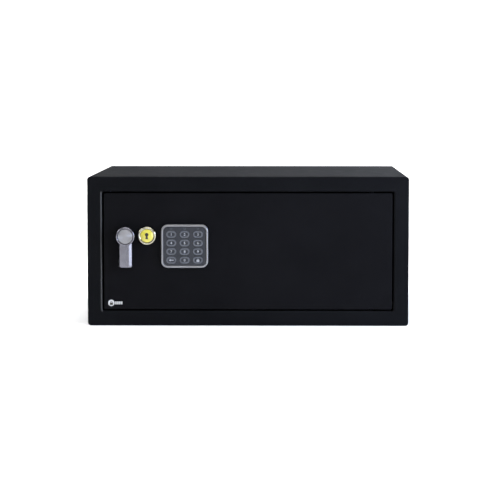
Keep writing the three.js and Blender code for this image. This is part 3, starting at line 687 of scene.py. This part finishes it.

# ---------------------------------------------------------------------------------------------
# The emergency lock has a bright plated ring on the door's face; its plating is coloured yellowish,
# a painted reflection of the yellow cap. A glossy yellow moulded cap with a low dome clips into it
# and hides the key plug. The cap carries a printed keyhole sign.
# The plating's yellowish colour is a painted reflection of the yellow cap, not the metal's own tone.
cap_reflection_plate = metal("cap_reflection_plate", (0.36, 0.345, 0.26), (0.46, 0.44, 0.34), 0.13, 2200, height=0.002)
ring = turned([(9.8, -0.3, 0), (9.8, -2, 0), (9, -2, 0), (9, -5, 0.3), (9.9, -5.6, 0.5), (11.3, -5.6, 0.9),
               (12.4, -4.2, 1.0), (12.4, -0.3, 0), (9.8, -0.3, 0)], cap_axis, steps=96)
piece("lock_ring", ring, cap_reflection_plate, "door", "bright_chrome", "cap_ring")

yellow_moulding, yellow_shader = shader_of("yellow_moulding", (0.74, 0.66, 0.10), 0.16)
yellow_shader.inputs["Coat Weight"].default_value = 0.6
yellow_shader.inputs["Coat Roughness"].default_value = 0.06
tint(yellow_moulding, yellow_shader, spread(yellow_moulding, noise(yellow_moulding, 160, 3), 0, 1),
     (0.55, 0.485, 0.05), (0.62, 0.555, 0.078))
gloss(yellow_moulding, yellow_shader, noise(yellow_moulding, 700, 2), 0.12, 0.24)
relief(yellow_moulding, yellow_shader, noise(yellow_moulding, 420, 2), 0.01 * MM)

CAP_R, CAP_FRONT, CAP_BACK, CAP_CROWN = 8.6, -7, -2.6, 2.2
CAP_STEPS = 10


def dome(lift):
    """The cap's outline: a shallow dome, a small edge radius and a flat back."""
    top = radians(40)
    arc = []
    for i in range(CAP_STEPS + 1):
        lean = top * i / CAP_STEPS
        fall = CAP_CROWN * (1 - cos(lean)) / (1 - cos(top))
        arc.append((CAP_R * sin(lean) / sin(top), CAP_FRONT - lift + fall, 0))
    return turned([*arc, (CAP_R, CAP_BACK, 0.3), (0, CAP_BACK, 0)], cap_axis, steps=80)


piece("lock_cap", dome(0), yellow_moulding, "cap", "yellow_gloss", "override_cap")
keyhole = piece("keyhole_sign", dome(0.04), dark_print, "cap", "yellow_gloss")
KEYHOLE_R, KEYHOLE_RISE = 2.4 * MM, 1.7 * MM
SLOT_HALF, SLOT_FOOT, SLOT_TOP, SLOT_NECK = 1.9 * MM, -4.4 * MM, 1.2 * MM, 0.45
PRINT_NEAR, PRINT_FAR = -9 * MM, -5.9 * MM
outline = rod(bmesh.new(), KEYHOLE_R, cap_axis + Vector((0, PRINT_NEAR, KEYHOLE_RISE)),
              cap_axis + Vector((0, PRINT_FAR, KEYHOLE_RISE)), 40)
slot_low = cap_axis + Vector((-SLOT_HALF, PRINT_NEAR, SLOT_FOOT))
slot_high = cap_axis + Vector((SLOT_HALF, PRINT_FAR, SLOT_TOP))
stem = plate(bmesh.new(), slot_low, slot_high, 0.3 * MM, steps=3)
upper = [vert for vert in stem.verts if vert.co.z > cap_axis.z - 1.6 * MM]
bmesh.ops.scale(stem, verts=upper, vec=(SLOT_NECK, 1, 1), space=Matrix.Translation(-cap_axis))
shape = piece("keyhole_tool", outline, dark_print, "cap", "yellow_gloss")
cut(shape, stem, "UNION")
tool = bmesh.new()
tool.from_mesh(shape.data)
bpy.data.objects.remove(shape)
cut(keyhole, tool, "INTERSECT")

# Behind the cap, a brass cylinder passes through the door and is held by a hexagon nut. Its
# plug has the keyway at the front and a cam at the back that lifts the bolts' slide.
brass = metal("turned_brass", (0.52, 0.38, 0.14), (0.62, 0.47, 0.19), 0.24, 900, height=0.01)
shell = turned([(6.4, -1.6, 0.2), (9.4, -1.6, 0.3), (9.4, 22, 0.4), (6.4, 22, 0), (6.4, -1.6, 0)], cap_axis)
piece("lock_cylinder", shell, brass, "door", "brass", "key_cylinder")
eased_copy("lock_plug", "key_plug", brass, "plug", "brass", 0.2 * MM)
eased_copy("lock_nut", "cylinder_nut", zinc_plate, "door", "plain_steel")

# ---------------------------------------------------------------------------------------------
# The keypad has a silver moulded surround, round-cornered and raised off the door, with a
# slate-grey fascia set inside it. It is clipped to the door over the hole for its lead.
PAD_W, PAD_H, PAD_CORNER, PAD_FRONT = 63, 58, 9, -6.5
silver_moulding = metal("silver_moulding", (0.25, 0.252, 0.267), (0.29, 0.292, 0.306), 0.36, 2600,
                        height=0.004)
surround = bmesh.new()
OUTER_R, INNER_R, WALL = 1.4, 0.6, 2.75
profile = [(0, -0.3, PAD_CORNER)]
for s, c in quarter():
    inset = OUTER_R * (1 - c)
    profile.append((inset, PAD_FRONT + OUTER_R * (1 - s), PAD_CORNER - inset))
for s, c in quarter():
    inset = WALL - INNER_R * (1 - s)
    profile.append((inset, PAD_FRONT + INNER_R * (1 - c), PAD_CORNER - inset))
profile += [(WALL, -3.3, PAD_CORNER - WALL), (4.8, -3.3, 4), (4.8, -0.3, 4)]
rings = [loop(surround, ((PAD_W - 2 * inset) * MM, (PAD_H - 2 * inset) * MM), radius * MM,
              keypad_centre + Vector((0, y * MM, 0)), steps=10) for inset, y, radius in profile]
skin(surround, rings, closed=True)
pad_surround = piece("pad_surround", surround, silver_moulding, "door", "bezel_silver", "keypad_bezel")
keep_flat(pad_surround)


def moulded(name, base, pale, roughness, specular=0.4):
    """Moulded plastic with a fine spark-eroded texture."""
    material, shader = shader_of(name, base, roughness)
    shader.inputs["Specular IOR Level"].default_value = specular
    tint(material, shader, spread(material, noise(material, 220, 4), 0, 1), base, pale)
    gloss(material, shader, noise(material, 900, 3), roughness - 0.06, roughness + 0.08)
    relief(material, shader, noise(material, 4200, 2), 0.02 * MM)
    return material


KEYS = ["key_1", "key_2", "key_3", "key_4", "key_5", "key_6", "key_7", "key_8", "key_9",
        "key_clear", "key_0", "key_lock"]
slate = moulded("slate_moulding", (0.0155, 0.017, 0.0225), (0.020, 0.022, 0.0285), 0.5)
fascia_low, fascia_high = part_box("keypad_panel")
CLIP_FIT = Vector((0.35 * MM, 0, 0.35 * MM))
fascia = plate(bmesh.new(), fascia_low - CLIP_FIT, fascia_high + CLIP_FIT, 6.0 * MM, 0.4 * MM, 8)
pad_fascia = piece("pad_fascia", fascia, slate, "door", "fascia", "keypad_panel")
holes = bmesh.new()
KEY_HOLE = Vector((6.8 * MM, 0, 4.75 * MM))
LAMP_HOLE = Vector((1.8 * MM, 0, 0.8 * MM))
THROUGH = Vector((0, 8 * MM, 0))
for name in KEYS:
    centre = on_door(middle_of(name))
    plate(holes, centre - KEY_HOLE - THROUGH, centre + KEY_HOLE, 4.7 * MM)
LAMP_RISE = 23.3 * MM
lamp_places = [Vector((middle_of(name).x, DOOR_Y, keypad_centre.z + LAMP_RISE)) for name in KEYS[:3]]
for centre in lamp_places:
    plate(holes, centre - LAMP_HOLE - THROUGH, centre + LAMP_HOLE, 0.78 * MM, steps=4)
cut(pad_fascia, holes)

# Three lamp tips of smoked clear plastic stand in the fascia above the keys, moulded as one
# bar. The circuit board lies behind them, flat against the door.
smoked = moulded("smoked_clear", (0.07, 0.08, 0.10), (0.09, 0.10, 0.12), 0.2, 0.5)
pipe_low, pipe_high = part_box("light_pipe")
pipe = plate(bmesh.new(), Vector((pipe_low.x, DOOR_Y - 3.3 * MM, pipe_low.z)), pipe_high, 0.3 * MM, steps=3)
light_bar = piece("light_bar", pipe, smoked, "door", "clear_plastic", "light_pipe")
TIP = Vector((1.5 * MM, 0, 0.5 * MM))
TIP_NEAR = Vector((0, 5.3 * MM, 0))
TIP_FAR = Vector((0, 3 * MM, 0))
for centre in lamp_places:
    tip = plate(bmesh.new(), centre - TIP - TIP_NEAR, centre + TIP - TIP_FAR, 0.48 * MM, 0.2 * MM, 4)
    cut(light_bar, tip, "UNION")
solder_mask = moulded("green_board", (0.010, 0.075, 0.032), (0.018, 0.11, 0.05), 0.3)
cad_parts["keypad_board"].material_slots[0].material = solder_mask

# Twelve pill-shaped keys come through the fascia. Each is a dark moulding with a raised rim round
# a shallow dish, and its sign is printed in the dish. The rim, sides and flange are a paler grey, a painted
# highlight on the raised rim.
KEY_W, KEY_H, DISH = 13.0, 8.9, -5.6
key_dark = moulded("key_dark", (0.014, 0.016, 0.022), (0.020, 0.023, 0.030), 0.42)
key_rim_painted_highlight = moulded("key_rim_painted_highlight", (0.082, 0.089, 0.105), (0.10, 0.108, 0.126), 0.4)
key_print, print_shader = shader_of("key_print", (0.33, 0.34, 0.37), 0.5)
gloss(key_print, print_shader, noise(key_print, 3000, 2), 0.42, 0.6)
relief(key_print, print_shader, noise(key_print, 3500, 2), 0.01 * MM)


def digit(text, height):
    """A digit in a plain face as a thin upright solid, centred on the origin."""
    curve = bpy.data.curves.new("digit", "FONT")
    curve.body = text
    curve.size = height * 1.4
    curve.extrude = 0.06 * MM
    curve.offset = 0.09 * MM
    curve.resolution_u = 4
    holder = bpy.data.objects.new("digit", curve)
    bpy.context.collection.objects.link(holder)
    bpy.context.view_layer.update()
    mesh = bpy.data.meshes.new_from_object(holder.evaluated_get(bpy.context.evaluated_depsgraph_get()))
    bpy.data.objects.remove(holder)
    bm = bmesh.new()
    bm.from_mesh(mesh)
    bpy.data.meshes.remove(mesh)
    bmesh.ops.remove_doubles(bm, verts=bm.verts, dist=MERGE)
    corners = [[pick(vert.co[i] for vert in bm.verts) for i in range(3)] for pick in (min, max)]
    bmesh.ops.translate(bm, verts=bm.verts, vec=-(Vector(corners[0]) + Vector(corners[1])) / 2)
    bmesh.ops.transform(bm, verts=bm.verts, matrix=UPRIGHT)
    return bm


def key_sign(name):
    """The printed sign of one key: its digit, a left arrow to clear, or a padlock to lock."""
    if name == "key_lock":
        return padlock(1.0, Vector((0, 0, 0)), -0.06, 0.06)
    if name == "key_clear":
        bm = ink(bmesh.new(), 3.8, 1.1, 0.1, Vector((1.22 * MM, 0, 0)), -0.06, 0.06)
        head = bmesh.ops.create_cone(bm, cap_ends=True, segments=3, radius1=1.9 * MM, radius2=1.9 * MM,
                                     depth=0.12 * MM)["verts"]
        bmesh.ops.transform(bm, verts=head, matrix=Matrix.Translation((-1.6 * MM, 0, 0)) @ UPRIGHT
                            @ Matrix.Rotation(pi / 2, 4, "Z"))
        return bm
    return digit(name[-1], 3.4 * MM)


def key_solid(centre):
    """One key from back to front: flange, straight side, round raised rim and dished middle."""
    bm = bmesh.new()
    rings = []
    for inset, y in ((-0.6, -2.6), (-0.6, -3.3), (0, -3.3), (0, -5.7), (0.1, -5.95), (0.35, -6.1),
                     (1.2, -6.1), (1.6, -5.95), (1.8, DISH)):
        size = ((KEY_W - 2 * inset) * MM, (KEY_H - 2 * inset) * MM)
        rings.append(loop(bm, size, min(size) / 2 - 0.03 * MM, centre + Vector((0, y * MM, 0)), steps=8,
                          face=y in (-2.6, DISH)))
    skin(bm, rings)
    # All but the dish take the paler grey, a painted highlight on the raised rim; the dish keeps the dark
    # moulding.
    for part in bm.faces:
        middle = part.calc_center_median() - centre
        in_dish = middle.y < (DISH + 0.02) * MM and part.calc_area() > 20 * MM * MM
        part.material_index = 0 if in_dish else 1
    return bm


for name in KEYS:
    centre = on_door(middle_of(name))
    shape = key_solid(centre)
    sign = key_sign(name)
    bmesh.ops.translate(sign, verts=sign.verts, vec=centre + Vector((0, (DISH - 0.02) * MM, 0)))
    for part in sign.faces:
        part.material_index = 2
    sign_mesh = bpy.data.meshes.new("sign")
    sign.to_mesh(sign_mesh)
    sign.free()
    shape.from_mesh(sign_mesh)
    bpy.data.meshes.remove(sign_mesh)
    piece(f"{name}_cap", shape, [key_dark, key_rim_painted_highlight, key_print], name, "key_plastic", name)

# ---------------------------------------------------------------------------------------------
# Two round steel bolts are riveted to a flat slide behind the door. The slide runs on two
# headed studs, and a bracket on the door guides the bolts' tips.
bolt_steel = metal("ground_steel", (0.52, 0.52, 0.53), (0.62, 0.62, 0.63), 0.22, 700, (0.15, 1, 1), 0.01)
for side in ("upper", "lower"):
    low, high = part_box(f"bolt_{side}")
    centre = (low + high) / 2
    nose, tail = low.x / MM, high.x / MM
    bolt = turned([(0, nose, 0), (7.5, nose, 0.3), (9, nose + 1.5, 0.3), (9, tail, 0.4), (0, tail, 0)],
                  Vector((0, centre.y, centre.z)), (1, 0, 0), 64)
    piece(f"lock_bolt_{side}", bolt, bolt_steel, "boltwork", "bolt_steel", f"bolt_{side}")
    stud_axis = on_door(middle_of(f"guide_stud_{side}"))
    stud = turned([(0, 4.3, 0), (3, 4.3, 0), (3, 16.5, 0), (5, 16.5, 0.3), (5, 18.5, 0.5), (0, 18.5, 0)],
                  stud_axis, steps=40)
    piece(f"slide_stud_{side}", stud, zinc_plate, "door", "plain_steel", f"guide_stud_{side}")
eased_copy("bolt_slide_plate", "bolt_carriage", zinc_plate, "boltwork", "plain_steel", 0.25 * MM)
eased_copy("bolt_bracket", "bolt_guide", zinc_plate, "door", "plain_steel")

# A solenoid stands over the slide: a steel strap round a taped coil. Its plunger, pushed down
# by a spring, drops into the slide's path until the right code is keyed in.
coil_low, coil_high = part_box("solenoid_coil")
COIL = Vector(((coil_low.x + coil_high.x) / 2, (coil_low.y + coil_high.y) / 2, 0))
coil_tape = moulded("amber_tape", (0.20, 0.13, 0.02), (0.30, 0.20, 0.05), 0.35)
foot, top = coil_low.z / MM, coil_high.z / MM
coil = turned([(3.9, foot, 0), (8.8, foot, 0), (8.8, foot + 1.2, 0), (8.3, foot + 1.2, 0),
               (8.3, top - 1.2, 0), (8.8, top - 1.2, 0), (8.8, top, 0), (3.9, top, 0), (3.9, foot, 0)],
              COIL, (0, 0, 1), 48)
piece("wound_coil", coil, coil_tape, "door", "coil_tape", "solenoid_coil")
eased_copy("coil_strap", "solenoid_frame", zinc_plate, "door", "plain_steel", 0.3 * MM)
plunger = turned([(0, 88, 0), (2.4, 88, 0.4), (2.4, 94, 0), (5.8, 94, 0.3), (5.8, 96, 0.3), (3.5, 96, 0),
                  (3.5, 134, 0.6), (0, 134, 0)], COIL, (0, 0, 1), 40)
piece("coil_plunger", plunger, bolt_steel, "plunger", "plain_steel", "solenoid_plunger")
SPRING_R, WIRE_R, SPRING_TURNS = 4.9 * MM, 0.45 * MM, 3
spring_low, spring_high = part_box("plunger_spring")
coil_steps = 24 * SPRING_TURNS
rise = spring_high.z - spring_low.z - 2 * WIRE_R
spring = bmesh.new()
wire = bmesh.ops.create_circle(spring, cap_ends=True, segments=10, radius=WIRE_R)["verts"]
start = Matrix.Translation(COIL + Vector((SPRING_R, 0, spring_low.z + WIRE_R)))
bmesh.ops.transform(spring, verts=wire, matrix=start @ UPRIGHT)
bmesh.ops.spin(spring, geom=spring.verts[:] + spring.edges[:] + spring.faces[:], cent=COIL, axis=(0, 0, 1),
               dvec=(0, 0, rise / coil_steps), angle=2 * pi * SPRING_TURNS, steps=coil_steps)
piece("coil_spring", spring, bolt_steel, "door", "plain_steel", "plunger_spring")

# ---------------------------------------------------------------------------------------------
# A folded cover of 1.2 mm painted steel closes the lock. Four cross-head screws hold it to the
# back of the door, and it has a window for the battery lid and a hole for the reset button.
eased_copy("lock_case", "lock_cover", door_coat, "door", "door_paint", 0.5 * MM)
CROSS_REACH, CROSS_WIDTH = 3.8, 0.7
CROSS_FLOOR = Vector((0, 6.8 * MM, 0))
CROSS_CLEAR = Vector((0, 9 * MM, 0))
for i in range(1, 5):
    screw_axis = on_door(middle_of(f"cover_screw_{i}"))
    screw = turned([(0, 1.6, 0), (2, 1.6, 0.3), (2, 5.8, 0), (3.6, 5.8, 0.2), (3.5, 6.9, 0.5),
                    (2.6, 7.8, 0.7), (0, 8.0, 0)], screw_axis, steps=40)
    screw_head = piece(f"case_screw_{i}", screw, zinc_plate, "door", "plain_steel", f"cover_screw_{i}")
    for wide, tall in ((CROSS_REACH, CROSS_WIDTH), (CROSS_WIDTH, CROSS_REACH)):
        reach = Vector((wide / 2 * MM, 0, tall / 2 * MM))
        cross = plate(bmesh.new(), screw_axis - reach + CROSS_FLOOR, screw_axis + reach + CROSS_CLEAR,
                      0.1 * MM, steps=2)
        cut(screw_head, cross)

# The battery box is moulded in black plastic and holds four AA cells side by side, with a small
# housing for the reset switch. A flat lid clips over it, flush outside the cover.
black_moulding = moulded("black_moulding", (0.010, 0.010, 0.011), (0.015, 0.015, 0.016), 0.45)
eased_copy("cell_box", "battery_box", black_moulding, "door", "black_plastic", 0.3 * MM)
lid_low, lid_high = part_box("battery_cover")
LID_NEAR, LID_FAR = 40.3 * MM, 42.1 * MM
STEP_NEAR, STEP_FAR = 38.9 * MM, 41 * MM
GRIP_NEAR, GRIP_FAR = 41.5 * MM, 42.6 * MM
GRIP_X, GRIP_PITCH, GRIP_HALF_W, GRIP_HALF_H = 24 * MM, 3.2 * MM, 5 * MM, 0.6 * MM
lid_middle = on_door((lid_low + lid_high) / 2)
lid_reach = Vector(((lid_high.x - lid_low.x) / 2, 0, (lid_high.z - lid_low.z) / 2))
lid = plate(bmesh.new(), lid_middle - lid_reach + Vector((0, LID_NEAR, 0)),
            lid_middle + lid_reach + Vector((0, LID_FAR, 0)), 3 * MM)
cell_lid = piece("cell_lid", lid, black_moulding, "battery_lid", "black_plastic", "battery_cover")
step_reach = Vector((29.5 * MM, 0, 27.5 * MM))
lid_step = plate(bmesh.new(), lid_middle - step_reach + Vector((0, STEP_NEAR, 0)),
                 lid_middle + step_reach + Vector((0, STEP_FAR, 0)), 2 * MM)
cut(cell_lid, lid_step, "UNION")
for i in range(5):
    grip = lid_middle + Vector((GRIP_X, 0, (i - 2) * GRIP_PITCH))
    bar = plate(bmesh.new(), grip + Vector((-GRIP_HALF_W, GRIP_NEAR, -GRIP_HALF_H)),
                grip + Vector((GRIP_HALF_W, GRIP_FAR, GRIP_HALF_H)), 0.5 * MM, steps=3)
    cut(cell_lid, bar, "UNION")
soften(cell_lid, 0.35 * MM)

cell_sleeve = moulded("printed_sleeve", (0.012, 0.016, 0.03), (0.02, 0.03, 0.05), 0.25)
cell_band = metal("cell_band", (0.55, 0.33, 0.10), (0.66, 0.42, 0.16), 0.25, 500, height=0.01)
BAND = 12
for i in range(1, 5):
    low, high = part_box(f"cell_{i}")
    axis = (low + high) / 2
    up = 1 if i % 2 else -1
    half = (high.z - low.z) / 2 / MM
    cell = turned([(0, -half, 0), (5.6, -half, 0.2), (6.4, -half + 0.4, 0), (7.1, -half + 0.4, 0.5),
                   (7.1, half - BAND, 0), (7.1, half - 1.6, 0.5), (3.2, half - 1.2, 0.2),
                   (2.7, half, 0.3), (0, half, 0)], axis, (0, 0, up), 40)
    for part in cell.faces:
        place = (part.calc_center_median() - axis).z * up / MM
        wide = (part.calc_center_median() - axis).xy.length / MM
        part.material_index = 2 if wide < 5.5 else 1 if place > half - BAND else 0
    piece(f"aa_cell_{i}", cell, [cell_sleeve, cell_band, bolt_steel], "door", "cell_sleeve", f"cell_{i}")

# The red reset button is moulded plastic and stands in a hole in the cover. A thin lead in a
# soft black sheath runs from the battery box to the keypad.
red_moulding = moulded("red_moulding", (0.42, 0.012, 0.012), (0.5, 0.02, 0.018), 0.35)
reset_axis = on_door(middle_of("reset_button"))
button = turned([(0, 28, 0), (3, 28, 0.3), (3, 36.4, 0), (4.4, 36.4, 0.2), (4.4, 37.6, 0.2), (3, 37.6, 0),
                 (3, 41.2, 0.6), (0, 41.2, 0)], reset_axis, steps=40)
piece("reset_plunger", button, red_moulding, "reset", "red_plastic", "reset_button")
lead_sheath = moulded("soft_sheath", (0.02, 0.02, 0.022), (0.03, 0.03, 0.033), 0.4)
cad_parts["battery_lead"].material_slots[0].material = lead_sheath

# ---------------------------------------------------------------------------------------------
low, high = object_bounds()
